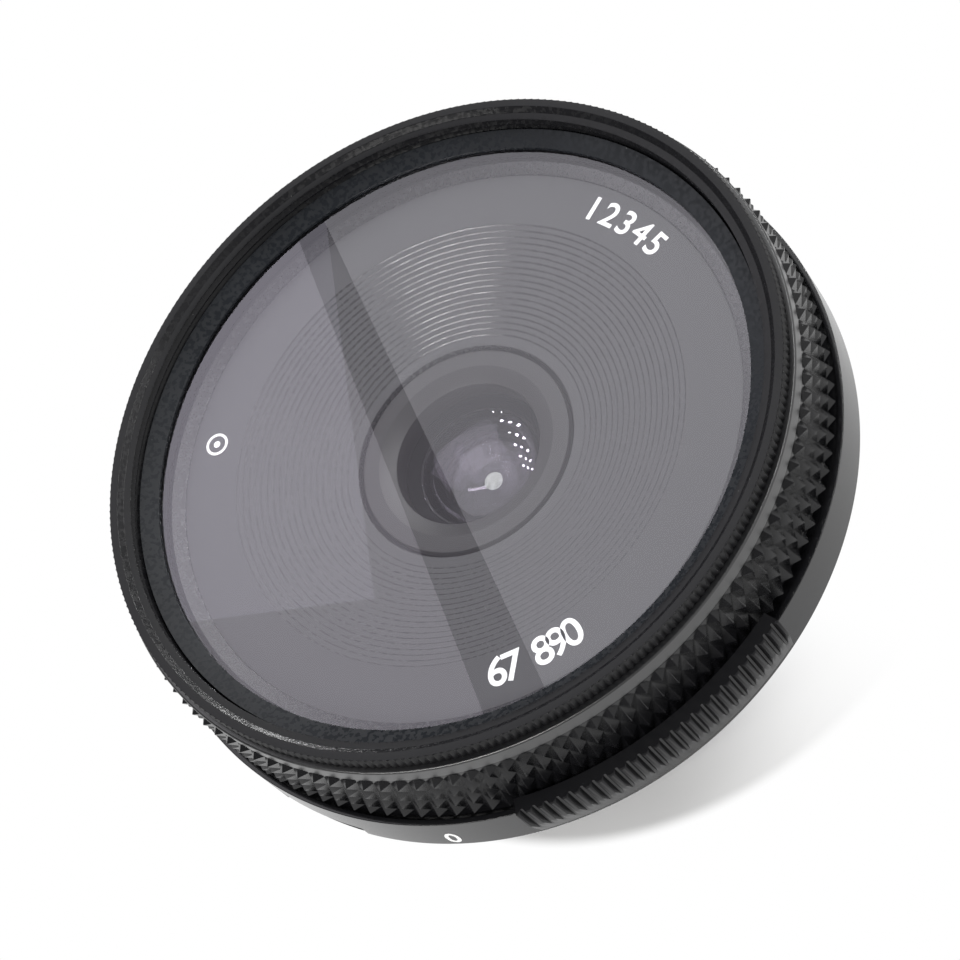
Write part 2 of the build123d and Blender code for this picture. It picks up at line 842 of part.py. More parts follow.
def doublet_rear_element():
    rear = Line((0, 0, doublet_bottom), (inner_element_r, 0, doublet_bottom))
    return lens_element(bond_surface(), rear, inner_element_r)


def rear_spacer():
    return tube(inner_element_r, spacer_hole_r, rear_top, doublet_bottom)


def rear_element():
    vertex = rear_rim - sag(rear_dome_radius, inner_element_r)
    rear = surface(vertex, -rear_dome_radius, inner_element_r)
    return lens_element(Line((0, 0, rear_top), (inner_element_r, 0, rear_top)), rear, inner_element_r)


def rear_retainer():
    return tube(inner_element_r, rear_retainer_r, rear_retainer_bottom, rear_retainer_top)


def lens_cell():
    """The barrel that holds the optics, with the focusing thread outside and a guided flange."""
    pocket_front_r = front_element_r + slide_fit
    body = turned(
        (inner_pocket_r, cell_bottom),
        (cell_rear_r, cell_bottom),
        (cell_rear_r, cell_flange_bottom),
        (cell_flange_r, cell_flange_bottom),
        (cell_flange_r, cell_flange_top),
        (helicoid_r, cell_flange_top),
        (helicoid_r, cell_shoulder),
        (cell_front_r, cell_shoulder),
        (cell_front_r, cell_top),
        (pocket_front_r, cell_top),
        (pocket_front_r, front_seat),
        (inner_pocket_r, front_seat),
        (inner_pocket_r, second_seat),
        (stop_shelf_r, second_seat),
        (stop_shelf_r, stop_top),
        (inner_pocket_r, stop_top),
    )
    pin_hole = tube(guide_pin_r + slide_fit, 0, floor_top, cell_flange_top + cut_overrun)
    return body - spread(pin_hole, guide_pin_count, guide_pin_circle_r, 0)


pieces = (
    filter_ring,
    filter_glass,
    filter_retaining_ring,
    front_barrel,
    nameplate,
    barrel_screws,
    focus_ring,
    focus_tab,
    tab_screws,
    helicoid_ring,
    drive_screws,
    glide_washer,
    base_ring,
    pillars,
    pillar_screws,
    guide_pins,
    mount_plate,
    mount_screws,
    mount_dot,
    rear_baffle,
    lens_cell,
    front_retainer,
    front_element,
    front_spacer,
    second_element,
    aperture_stop,
    doublet_front_element,
    doublet_rear_element,
    rear_spacer,
    rear_element,
    rear_retainer,
)

os.makedirs("parts", exist_ok=True)
for piece in pieces:
    export_step(piece(), f"parts/{piece.__name__}.step")
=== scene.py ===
import math

import bpy
from mathutils import Matrix, Quaternion, Vector


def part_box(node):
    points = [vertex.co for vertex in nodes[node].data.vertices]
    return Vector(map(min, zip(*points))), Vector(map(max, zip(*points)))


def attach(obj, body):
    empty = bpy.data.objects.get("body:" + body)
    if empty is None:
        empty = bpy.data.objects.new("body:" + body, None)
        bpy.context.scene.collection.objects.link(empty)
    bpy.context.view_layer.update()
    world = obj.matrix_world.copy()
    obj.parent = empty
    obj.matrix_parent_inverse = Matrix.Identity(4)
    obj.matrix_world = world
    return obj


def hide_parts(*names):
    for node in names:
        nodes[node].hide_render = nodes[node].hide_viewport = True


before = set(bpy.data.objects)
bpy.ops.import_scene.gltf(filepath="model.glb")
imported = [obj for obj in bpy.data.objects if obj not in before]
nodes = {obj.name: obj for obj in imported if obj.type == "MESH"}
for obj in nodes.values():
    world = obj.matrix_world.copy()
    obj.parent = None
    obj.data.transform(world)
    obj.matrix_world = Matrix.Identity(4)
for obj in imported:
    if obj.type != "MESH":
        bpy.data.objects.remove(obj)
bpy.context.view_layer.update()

# The lens lies on its rear, the optical axis is +Z, and every size in a dictionary is in millimetres
mm = 0.001
roundSteps = 256
# how far apart two places may lie and still be picked as one
same = 0.01
close = 0.02
# points nearer than the gap are merged, and slivers thinner than this are dissolved
weld = {"gap": 0.001, "sliver": 0.0005, "digitGap": 0.002}


def reach(node):
    low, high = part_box(node)
    return {"bottom": low.z / mm, "top": high.z / mm, "radius": max(-low.x, high.x, -low.y, high.y) / mm}


def fromAxis(point):
    return math.hypot(point.x, point.y)


def bearingOf(point):
    return math.degrees(math.atan2(point.y, point.x))


def clearSelection():
    if bpy.context.object and bpy.context.object.mode == "EDIT":
        bpy.ops.object.mode_set(mode="OBJECT")
    bpy.ops.object.select_all(action="DESELECT")


def focusOn(piece):
    clearSelection()
    piece.select_set(True)
    bpy.context.view_layer.objects.active = piece


# Selection in edit mode, by place in millimetres
def pickPoints(piece, wanted, mode="VERT"):
    bpy.ops.mesh.select_all(action="DESELECT")
    bpy.ops.mesh.select_mode(type=mode)
    bpy.ops.object.mode_set(mode="OBJECT")
    if mode == "VERT":
        for point in piece.data.vertices:
            point.select = wanted(point.co / mm)
    if mode == "EDGE":
        points = piece.data.vertices
        for edge in piece.data.edges:
            edge.select = wanted(points[edge.vertices[0]].co / mm, points[edge.vertices[1]].co / mm)
    if mode == "FACE":
        for face in piece.data.polygons:
            face.select = wanted(face.center / mm, face.normal)
    bpy.ops.object.mode_set(mode="EDIT")


def scaleFromAxis(share):
    bpy.ops.transform.resize(value=(share, share, 1), center_override=(0, 0, 0))


def faceOutward():
    bpy.ops.mesh.select_all(action="SELECT")
    bpy.ops.mesh.normals_make_consistent(inside=False)


def drawOutline(name, points, rounding=0.0, segments=2, sharp=()):
    # a closed outline in the X-Z plane, drawn point by point, with its corners rounded off the axis
    clearSelection()
    bpy.ops.mesh.primitive_plane_add(size=mm)
    piece = bpy.context.object
    piece.name = name
    bpy.ops.object.mode_set(mode="EDIT")
    bpy.ops.mesh.select_mode(type="VERT")
    bpy.ops.mesh.select_all(action="SELECT")
    bpy.ops.mesh.merge(type="CENTER")
    here = Vector((0, 0, 0))
    for index, (radius, height) in enumerate(points):
        there = Vector((radius, 0, height)) * mm
        if index == 0:
            bpy.ops.transform.translate(value=there)
        else:
            bpy.ops.mesh.extrude_region_move(TRANSFORM_OT_translate={"value": there - here})
        here = there
    bpy.ops.mesh.select_all(action="SELECT")
    bpy.ops.mesh.edge_face_add()
    if rounding:
        pickPoints(piece, lambda p: p.x > same and not any(abs(p.x - r) + abs(p.z - z) < same for r, z in sharp))
        bpy.ops.mesh.bevel(offset=rounding * mm, segments=segments, affect="VERTICES", clamp_overlap=True)
    return piece


def turnOutline(piece, steps=roundSteps, sweep=360.0, start=0.0):
    # spins the outline about the optical axis, and closes it where it comes round or touches the axis
    whole = sweep == 360.0
    bpy.ops.mesh.select_all(action="SELECT")
    if start:
        bpy.ops.transform.rotate(value=-math.radians(start), orient_axis="Z", center_override=(0, 0, 0))
    if whole:
        bpy.ops.mesh.delete(type="ONLY_FACE")
        bpy.ops.mesh.select_all(action="SELECT")
    bpy.ops.mesh.spin(steps=steps, angle=-math.radians(sweep), center=(0, 0, 0), axis=(0, 0, 1))
    bpy.ops.mesh.select_all(action="SELECT")
    bpy.ops.mesh.remove_doubles(threshold=weld["gap"] * mm)
    bpy.ops.mesh.dissolve_degenerate(threshold=weld["sliver"] * mm)
    bpy.ops.mesh.delete_loose()
    faceOutward()
    return piece


def finishPiece(piece, finish, body, replaced=(), smooth=32.0):
    focusOn(piece)
    if smooth:
        bpy.ops.object.shade_smooth_by_angle(angle=math.radians(smooth))
        bpy.ops.object.modifier_add(type="WEIGHTED_NORMAL")
        piece.modifiers[-1].keep_sharp = True
        bpy.ops.object.modifier_apply(modifier=piece.modifiers[-1].name)
    piece.data.materials.clear()
    piece.data.materials.append(finish)
    if replaced:
        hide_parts(*replaced)
    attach(piece, body)
    return piece


print("lens scene: frame loaded")


# Shader maths: a socket that adds its own nodes
class Shade:
    def __init__(self, tree, socket):
        self.tree = tree
        self.socket = socket

    def add(self, kind, settings=None, values=None, output=0):
        return addNode(self.tree, kind, settings, values, output)

    def maths(self, operation, *others):
        values = dict(enumerate((self,) + others))
        return self.add("ShaderNodeMath", {"operation": operation}, values)

    def __add__(self, other):
        return self.maths("ADD", other)

    def __sub__(self, other):
        return self.maths("SUBTRACT", other)

    def __rsub__(self, other):
        return addNode(self.tree, "ShaderNodeMath", {"operation": "SUBTRACT"}, {0: other, 1: self})

    def __mul__(self, other):
        return self.maths("MULTIPLY", other)

    def __truediv__(self, other):
        return self.maths("DIVIDE", other)

    def __pow__(self, other):
        return self.maths("POWER", other)

    def above(self, low, high):
        # 0 below low, 1 above high
        stretch = {"interpolation_type": "SMOOTHSTEP"}
        return self.add("ShaderNodeMapRange", stretch, {"Value": self, "From Min": low, "From Max": high})

    def between(self, low, high):
        # spreads 0 to 1 over low to high
        return self.add("ShaderNodeMapRange", None, {"Value": self, "To Min": low, "To Max": high})

    def mixed(self, dark, light):
        # a colour between two, by this factor
        values = {"Factor": self, 6: dark, 7: light}
        return self.add("ShaderNodeMix", {"data_type": "RGBA"}, values, 2)


def addNode(tree, kind, settings=None, values=None, output=0):
    node = tree.nodes.new(kind)
    for name, value in (settings or {}).items():
        setattr(node, name, value)
    for name, value in (values or {}).items():
        if isinstance(value, Shade):
            tree.links.new(value.socket, node.inputs[name])
        else:
            node.inputs[name].default_value = value
    return Shade(tree, node.outputs[output])


def findNode(tree, kind):
    return next(node for node in tree.nodes if node.type == kind)


def newFinish(name):
    finish = bpy.data.materials.new(name)
    finish.use_nodes = True
    return finish, finish.node_tree, findNode(finish.node_tree, "BSDF_PRINCIPLED")


def feed(tree, shader, values):
    for name, value in values.items():
        if isinstance(value, Shade):
            tree.links.new(value.socket, shader.inputs[name])
        else:
            shader.inputs[name].default_value = value


def objectSpot(tree):
    # Object coordinates in millimetres
    spot = addNode(tree, "ShaderNodeTexCoord", output=3)
    return addNode(tree, "ShaderNodeVectorMath", {"operation": "SCALE"}, {0: spot, "Scale": 1 / mm})


def places(tree):
    # the same, with the distance from the optical axis, the angle round it and the height along it
    spot = objectSpot(tree)
    node = addNode(tree, "ShaderNodeSeparateXYZ", None, {0: spot}).socket.node
    x, y, z = (Shade(tree, node.outputs[axis]) for axis in range(3))
    radius = (x * x + y * y) ** 0.5
    angle = y.maths("ARCTAN2", x)
    return spot, radius, angle, z


def grain(tree, spot, size, detail=2.0, output=0):
    return addNode(tree, "ShaderNodeTexNoise", None, {"Vector": spot, "Scale": 1 / size, "Detail": detail}, output)


def joined(tree, x, y, z):
    return addNode(tree, "ShaderNodeCombineXYZ", None, {0: x, 1: y, 2: z})


def bumped(tree, height, depth):
    # height runs from 0 to 1, depth is in millimetres
    return addNode(tree, "ShaderNodeBump", None, {"Height": height, "Distance": depth * mm, "Strength": 1.0})


def anodised(name, look):
    # black anodised aluminium: blasted grain, turning marks, a little dust and smoother cut edges that face the axis
    finish, tree, shader = newFinish(name)
    spot, radius, angle, z = places(tree)
    blast = grain(tree, spot, look["blastSize"], 3.0)
    cloud = grain(tree, spot, 7.0, 2.0)
    ringSpot = joined(tree, radius, z, angle * look["turnStretch"])
    turning = grain(tree, ringSpot, look["turnSize"], 2.0)
    dust = addNode(tree, "ShaderNodeTexVoronoi", None, {"Vector": spot, "Scale": 1 / look["dustSpacing"]})
    speck = 1.0 - dust.above(look["dustSize"] * 0.6, look["dustSize"])
    speck = speck * grain(tree, spot, 3.0).above(0.5, 0.62)
    color = cloud.mixed(look["dark"], look["light"])
    color = (speck * look["dust"]).mixed(color, (0.55, 0.55, 0.56, 1))
    rough = cloud.between(-look["roughSpread"], look["roughSpread"]) + look["rough"] + turning * look["turnRough"]
    # cut edges that face the axis are smoother, in broken streaks
    normal = addNode(tree, "ShaderNodeNewGeometry", output=1)
    flat = addNode(tree, "ShaderNodeVectorMath", {"operation": "MULTIPLY"}, {0: spot, 1: (1, 1, 0)})
    inward = addNode(tree, "ShaderNodeVectorMath", {"operation": "DOT_PRODUCT"}, {0: normal, 1: flat}, 1) / radius
    streak = grain(tree, spot, look["streakSize"], 2.0).above(0.35, 0.6)
    cut = (inward * -1.0).above(0.15, 0.4) * streak
    rough = rough + cut * (look["cutRough"] - look["rough"])
    height = blast * look["blastDepth"] + turning * look["turnDepth"]
    feed(tree, shader, {
        "Base Color": color,
        "Roughness": rough + speck * 0.3,
        "Metallic": look["metal"],
        "Specular IOR Level": look["shine"],
        "Normal": bumped(tree, height, 1.0),
    })
    return finish


anodisedLook = {
    "dark": (0.005, 0.005, 0.006, 1), "light": (0.009, 0.009, 0.010, 1), "metal": 0.0, "shine": 0.25,
    "rough": 0.34, "roughSpread": 0.05, "turnRough": 0.08,
    "blastSize": 0.06, "blastDepth": 0.003, "turnSize": 0.09, "turnStretch": 1.5, "turnDepth": 0.0015,
    "dustSpacing": 0.9, "dustSize": 0.035, "dust": 0.5, "cutRough": 0.14, "streakSize": 0.4,
}


def anodisedFinish(name, **changes):
    return anodised(name, {**anodisedLook, **changes})


def metalFinish(name, look):
    # bare, plated or ground metal with fine circular turning marks
    finish, tree, shader = newFinish(name)
    spot, radius, angle, z = places(tree)
    ringSpot = joined(tree, radius, z, angle * look["stretch"])
    turning = grain(tree, ringSpot, look["lineSize"], 3.0)
    cloud = grain(tree, spot, 5.0, 2.0)
    color = cloud.mixed(look["dark"], look["light"])
    feed(tree, shader, {
        "Base Color": color,
        "Metallic": 1.0,
        "Roughness": turning * look["lineRough"] + look["rough"],
        "Normal": bumped(tree, turning, look["lineDepth"]),
    })
    return finish


def plainFinish(name, dark, light, rough, grainSize=0.08, depth=0.004, shine=0.5):
    # moulded plastic, paint or enamel with a fine grain
    finish, tree, shader = newFinish(name)
    spot = objectSpot(tree)
    fine = grain(tree, spot, grainSize, 3.0)
    cloud = grain(tree, spot, 4.0, 2.0)
    feed(tree, shader, {
        "Base Color": cloud.mixed(dark, light),
        "Roughness": fine.between(rough - 0.06, rough + 0.06),
        "Specular IOR Level": shine,
        "Normal": bumped(tree, fine, depth),
    })
    return finish


def smeared(tree, haze):
    # a faint blur in cloudy smears
    return grain(tree, objectSpot(tree), 9.0, 3.0).above(0.35, 0.9) * haze


def glassFinish(name, look):
    # lens glass: lamp light goes straight through it to what lies behind
    finish, tree, shader = newFinish(name)
    feed(tree, shader, {
        "Base Color": look["color"],
        "Roughness": smeared(tree, look["haze"]),
        "Transmission Weight": 1.0,
        "IOR": look["ior"],
        "Specular IOR Level": look["shine"],
        "Specular Tint": look["coating"],
    })
    shadow = addNode(tree, "ShaderNodeLightPath", output=1)
    diffuse = addNode(tree, "ShaderNodeLightPath", output=2)
    clearShare(tree, shader, look["color"], shadow.maths("MAXIMUM", diffuse))
    return finish


def clearShare(tree, shader, color, share):
    # mixes in plain see-through glass by the share given
    clear = addNode(tree, "ShaderNodeBsdfTransparent", None, {"Color": color})
    both = addNode(tree, "ShaderNodeMixShader", None, {0: share, 1: Shade(tree, shader.outputs[0]), 2: clear})
    tree.links.new(both.socket, findNode(tree, "OUTPUT_MATERIAL").inputs["Surface"])


def paneFinish(name, look):
    # a flat pane: it mirrors its Fresnel share, and the rest goes straight on
    finish, tree, shader = newFinish(name)
    feed(tree, shader, {
        "Base Color": look["coating"],
        "Metallic": 1.0,
        "Roughness": smeared(tree, look["haze"]),
    })
    # both faces are counted at the one that is looked at
    outside = 1.0 - addNode(tree, "ShaderNodeNewGeometry", output=6)
    mirrored = addNode(tree, "ShaderNodeFresnel", None, {"IOR": look["ior"]}) * 2.0 * outside
    clearShare(tree, shader, look["color"], 1.0 - mirrored)
    return finish


rimFinish = anodisedFinish("rimAnodised", rough=0.33, shine=0.25)
retainerFinish = anodisedFinish("retainerAnodised", dark=(0.008, 0.009, 0.011, 1), light=(0.013, 0.015, 0.018, 1),
                                rough=0.5)
barrelFinish = anodisedFinish("barrelAnodised", rough=0.27, shine=1.0, turnDepth=0.003)
knurlFinish = anodisedFinish("knurlAnodised", rough=0.22, shine=0.35, blastDepth=0.002, blastSize=0.1)
tabFinish = anodisedFinish("tabAnodised", rough=0.3)
baseFinish = anodisedFinish("baseAnodised", rough=0.14, shine=0.5, blastDepth=0.0012, turnDepth=0.001)
plateFinish = anodisedFinish("plateAnodised", dark=(0.030, 0.030, 0.032, 1), light=(0.038, 0.038, 0.040, 1),
                             shine=0.6, rough=0.3, turnDepth=0.004, turnSize=0.05)
housingFinish = anodisedFinish("housingAnodised", dark=(0.022, 0.021, 0.022, 1), light=(0.03, 0.029, 0.03, 1),
                               shine=0.5, rough=0.4, cutRough=0.36, blastSize=0.11, blastDepth=0.008,
                               dustSpacing=0.35, dust=0.7)
cellFinish = anodisedFinish("cellAnodised", rough=0.5)
baffleFinish = plainFinish("baffleBlack", (0.008, 0.008, 0.008, 1), (0.014, 0.014, 0.014, 1), 0.6)
washerFinish = plainFinish("washerPlastic", (0.72, 0.72, 0.69, 1), (0.8, 0.8, 0.77, 1), 0.45)
dotFinish = plainFinish("dotEnamel", (0.5, 0.02, 0.015, 1), (0.6, 0.03, 0.02, 1), 0.2)
paintFinish = plainFinish("markPaint", (0.92, 0.92, 0.92, 1), (0.96, 0.96, 0.96, 1), 0.5, 0.05)
chromeFinish = metalFinish("mountChrome", {
    "dark": (0.62, 0.62, 0.64, 1), "light": (0.74, 0.74, 0.75, 1), "rough": 0.16, "lineRough": 0.14,
    "lineSize": 0.05, "lineDepth": 0.0015, "stretch": 1.2})
steelFinish = metalFinish("screwSteel", {
    "dark": (0.4, 0.4, 0.4, 1), "light": (0.5, 0.5, 0.5, 1), "rough": 0.25, "lineRough": 0.2,
    "lineSize": 0.06, "lineDepth": 0.002, "stretch": 2.0})
pinFinish = metalFinish("pinSteel", {
    "dark": (0.5, 0.5, 0.51, 1), "light": (0.6, 0.6, 0.61, 1), "rough": 0.15, "lineRough": 0.1,
    "lineSize": 0.04, "lineDepth": 0.001, "stretch": 2.0})
pillarFinish = metalFinish("pillarAluminium", {
    "dark": (0.62, 0.62, 0.63, 1), "light": (0.72, 0.72, 0.73, 1), "rough": 0.3, "lineRough": 0.2,
    "lineSize": 0.08, "lineDepth": 0.003, "stretch": 2.0})
brassFinish = metalFinish("helicoidBrass", {
    "dark": (0.52, 0.36, 0.14, 1), "light": (0.66, 0.47, 0.2, 1), "rough": 0.25, "lineRough": 0.2,
    "lineSize": 0.07, "lineDepth": 0.003, "stretch": 1.0})
filterGlassFinish = paneFinish("filterGlassCoated", {
    "color": (0.98, 0.98, 0.985, 1), "ior": 1.5, "haze": 0.01, "coating": (0.95, 0.92, 1.0, 1)})
lensGlassFinish = glassFinish("lensGlassCoated", {
    "color": (0.97, 0.97, 0.98, 1), "ior": 1.6, "haze": 0.0, "shine": 0.4, "coating": (0.9, 0.8, 1.0, 1)})

nodeFinishes = {
    "filter_glass": filterGlassFinish, "barrel_screws": steelFinish, "tab_screws": steelFinish,
    "helicoid_ring": brassFinish, "drive_screws": steelFinish, "glide_washer": washerFinish,
    "pillars": pillarFinish, "pillar_screws": steelFinish, "guide_pins": pinFinish, "mount_screws": steelFinish,
    "mount_dot": dotFinish, "rear_baffle": baffleFinish, "lens_cell": cellFinish, "front_spacer": cellFinish,
    "second_element": lensGlassFinish, "aperture_stop": baffleFinish, "doublet_front_element": lensGlassFinish,
    "doublet_rear_element": lensGlassFinish, "rear_spacer": cellFinish, "rear_element": lensGlassFinish,
    "rear_retainer": cellFinish, "filter_ring": rimFinish, "filter_retaining_ring": retainerFinish,
    "front_barrel": barrelFinish, "nameplate": plateFinish, "focus_ring": knurlFinish, "focus_tab": tabFinish,
    "base_ring": baseFinish, "mount_plate": chromeFinish, "front_retainer": housingFinish,
    "front_element": lensGlassFinish,
}
for nodeName, nodeFinish in nodeFinishes.items():
    for materialSlot in nodes[nodeName].material_slots:
        materialSlot.material = nodeFinish
print("lens scene: finishes made")

# Filter rim: fine straight knurl outside, the free thread inside, a skirt that screws into the barrel
filterRim = {
    "height": 1.4, "teeth": 292, "toothDepth": 0.18, "edge": 0.06, "land": 0.75, "mouthWidth": 0.4, "mouthHeight": 0.4,
    "threadRadius": 27.094, "threadDepth": 0.3, "threadSink": 0.62, "pitch": 0.75, "turns": 2, "runOut": 0.1,
    "firstGroove": 0.06, "flankShare": 0.44, "pocketRadius": 26.2, "shelfWidth": 0.7, "skirtRadius": 27.45,
    "rounding": 0.04,
}


def makeFilterRim():
    size = filterRim
    box = reach("filter_ring")
    glass = reach("filter_glass")
    radius, top, bottom = box["radius"], box["top"], box["top"] - size["height"]
    thread, root = size["threadRadius"], size["threadRadius"] + size["threadDepth"]
    threadTop = top - size["mouthHeight"]
    threadEnd = bottom - size["threadSink"]
    shelf = size["pocketRadius"] - size["shelfWidth"]
    mouth = radius - size["land"]
    outside = [
        (radius - size["edge"], bottom), (radius, bottom + size["edge"]), (radius, top - size["edge"]),
        (radius - size["edge"], top),
    ]
    grooves = []
    for turn in range(size["turns"]):
        height = threadTop - size["firstGroove"] - turn * size["pitch"]
        flank = size["pitch"] * size["flankShare"]
        grooves += [(thread, height), (root, height - flank), (thread, height - 2 * flank)]
    floor = glass["bottom"]
    piece = drawOutline("filterRim", [
        *outside, (mouth, top), (mouth - size["mouthWidth"], threadTop), *grooves,
        (thread - size["runOut"], threadEnd), (size["pocketRadius"], threadEnd), (size["pocketRadius"], floor),
        (shelf, floor), (shelf, box["bottom"]), (size["skirtRadius"], box["bottom"]), (size["skirtRadius"], bottom),
    ], size["rounding"])
    turnOutline(piece, size["teeth"] * 2)
    step = 180 / size["teeth"]
    pickPoints(piece, lambda p: fromAxis(p) > radius - size["edge"] * 1.5 and round(bearingOf(p) / step) % 2 == 1)
    scaleFromAxis(1 - size["toothDepth"] / radius)
    return finishPiece(piece, rimFinish, "filter_rim", ["filter_ring"], 30.0)


# Retaining ring that holds the filter's glass: a conical top whose brim reaches out to the thread
retainingRing = {"pocketRadius": 26.15, "innerRadius": 25.45, "lip": 0.31, "brim": 0.4, "rounding": 0.045}


def makeRetainingRing():
    size = retainingRing
    box = reach("filter_retaining_ring")
    bottom, top, outer = box["bottom"], box["top"], box["radius"]
    piece = drawOutline("retainingRing", [
        (size["innerRadius"], bottom), (size["pocketRadius"], bottom), (size["pocketRadius"], top - size["brim"]),
        (outer, top - size["brim"]), (outer, top), (size["innerRadius"], bottom + size["lip"]),
    ], size["rounding"], 3)
    turnOutline(piece)
    return finishPiece(piece, retainerFinish, "filter_rim", ["filter_retaining_ring"])


# Front barrel: its rim is the smooth band between the filter and the focus ring
frontBarrel = {
    "bandHeight": 1.55, "threadRadius": 27.5, "skirtRadius": 28.25, "seatRadius": 24.12, "collarRadius": 25.2,
    "collarEdge": 0.05, "collarHeight": 0.45, "floorRadius": 18.5, "seatDepth": 0.9, "edge": 0.12, "rounding": 0.05,
}


def makeFrontBarrel():
    size = frontBarrel
    box = reach("front_barrel")
    plateTop = reach("nameplate")["top"]
    seat = plateTop - size["seatDepth"]
    band = box["top"] - size["bandHeight"]
    piece = drawOutline("frontBarrel", [
        (size["threadRadius"], plateTop), (size["collarRadius"], plateTop),
        (size["collarRadius"], plateTop + size["collarHeight"]), (size["seatRadius"], plateTop + size["collarEdge"]),
        (size["seatRadius"], seat), (size["floorRadius"], seat), (size["floorRadius"], box["bottom"]),
        (size["skirtRadius"], box["bottom"]),
        (size["skirtRadius"], band), (box["radius"] - size["edge"], band), (box["radius"], band + size["edge"]),
        (box["radius"], box["top"] - size["edge"]), (box["radius"] - size["edge"], box["top"]),
        (size["threadRadius"], box["top"]),
    ], size["rounding"])
    turnOutline(piece)
    return finishPiece(piece, barrelFinish, "body", ["front_barrel"])


# Nameplate: a flat rim for the marks, then fine steps down to the central housing
frontPlate = {
    "flatRadius": 19.5, "holeRadius": 9.4, "lipWidth": 0.5, "lipHeight": 0.7, "fall": 2.05, "steps": 19,
    "lean": 0.9, "seatDepth": 0.9, "backRadius": 18.0, "rounding": 0.025,
}


def makeNameplate():
    size = frontPlate
    box = reach("nameplate")
    top, seat = box["top"], box["top"] - size["seatDepth"]
    inner = size["holeRadius"] + size["lipWidth"]
    width = (size["flatRadius"] - inner) / size["steps"]
    drop = size["fall"] / size["steps"]
    points = [(box["radius"], seat), (box["radius"], top), (size["flatRadius"], top)]
    for step in range(size["steps"]):
        radius = size["flatRadius"] - step * width
        height = top - step * drop
        points += [(radius - drop * size["lean"], height - drop), (radius - width, height - drop)]
    edge = top - size["fall"]
    points += [(size["holeRadius"], edge), (size["holeRadius"], edge - size["lipHeight"]), (size["backRadius"], seat)]
    piece = drawOutline("frontPlate", points, size["rounding"], 2)
    turnOutline(piece, 320)
    return finishPiece(piece, plateFinish, "body", ["nameplate"], 30.0)


# Focus ring: four staggered rows of pyramids over a plain land
focusRing = {
    "knurlDepth": 0.65, "knurls": 126, "rows": 4, "frontMargin": 0.6, "rearMargin": 0.15, "landHeight": 0.5,
    "landInset": 0.1, "tipRound": 0.1, "rearBore": 27.5, "frontBore": 28.3, "flangeRadius": 25.3, "flangeTop": 8.4,
    "webTop": 6.9, "rounding": 0.05,
}


def makeFocusRing():
    size = focusRing
    box = reach("focus_ring")
    tip, top, bottom = box["radius"], box["top"], box["bottom"]
    root = tip - size["knurlDepth"]
    land = root - size["landInset"]
    landTop = bottom + size["landHeight"]
    first, last = landTop + size["rearMargin"], top - size["frontMargin"]
    heights = [first + row * (last - first) / (size["rows"] - 1) for row in range(size["rows"])]
    outer = [(root, landTop)] + [(root, height) for height in heights] + [(root, top)]
    piece = drawOutline("focusRing", [
        (size["rearBore"], bottom), (land, bottom), (land, landTop), *outer,
        (size["frontBore"], top), (size["frontBore"], size["flangeTop"]), (size["flangeRadius"], size["flangeTop"]),
        (size["flangeRadius"], size["webTop"]), (size["rearBore"], size["webTop"]),
    ], size["rounding"], 2, outer)
    turnOutline(piece, size["knurls"] * 2)
    step = 180 / size["knurls"]

    def isTip(point):
        if abs(fromAxis(point) - root) > close:
            return False
        rows = [row for row, height in enumerate(heights) if abs(point.z - height) < same]
        return bool(rows) and round(bearingOf(point) / step) % 2 == rows[0] % 2

    pickPoints(piece, isTip)
    scaleFromAxis(tip / root)
    pickPoints(piece, lambda c, n: fromAxis(c) > root - close and landTop < c.z < top, "FACE")
    bpy.ops.mesh.quads_convert_to_tris(quad_method="SHORTEST_DIAGONAL")
    pickPoints(piece, lambda p: fromAxis(p) > tip - close)
    bpy.ops.mesh.bevel(offset=size["tipRound"] * mm, segments=2, affect="VERTICES")
    return finishPiece(piece, knurlFinish, "focus", ["focus_ring"], 24.0)


# Focus tab: a hooked plate whose wall has tapered grooves, in five columns for each groove and its crest
focusTab = {
    "angle": -90.0, "grooves": 25, "pitchAngle": 1.83, "columns": 5, "grooveDepth": 0.37, "wall": 0.85, "foot": 0.1,
    "bevelHeight": 2.6, "chamfer": 0.1, "bridge": 0.42, "innerRadius": 30.35, "frontRadius": 29.85,
    "hookRadius": 29.07, "neckRadius": 29.55, "lipInner": 27.6, "lipThickness": 0.48, "lipGap": 0.02,
    "bridgeRise": 0.07, "crestRound": 0.045,
}


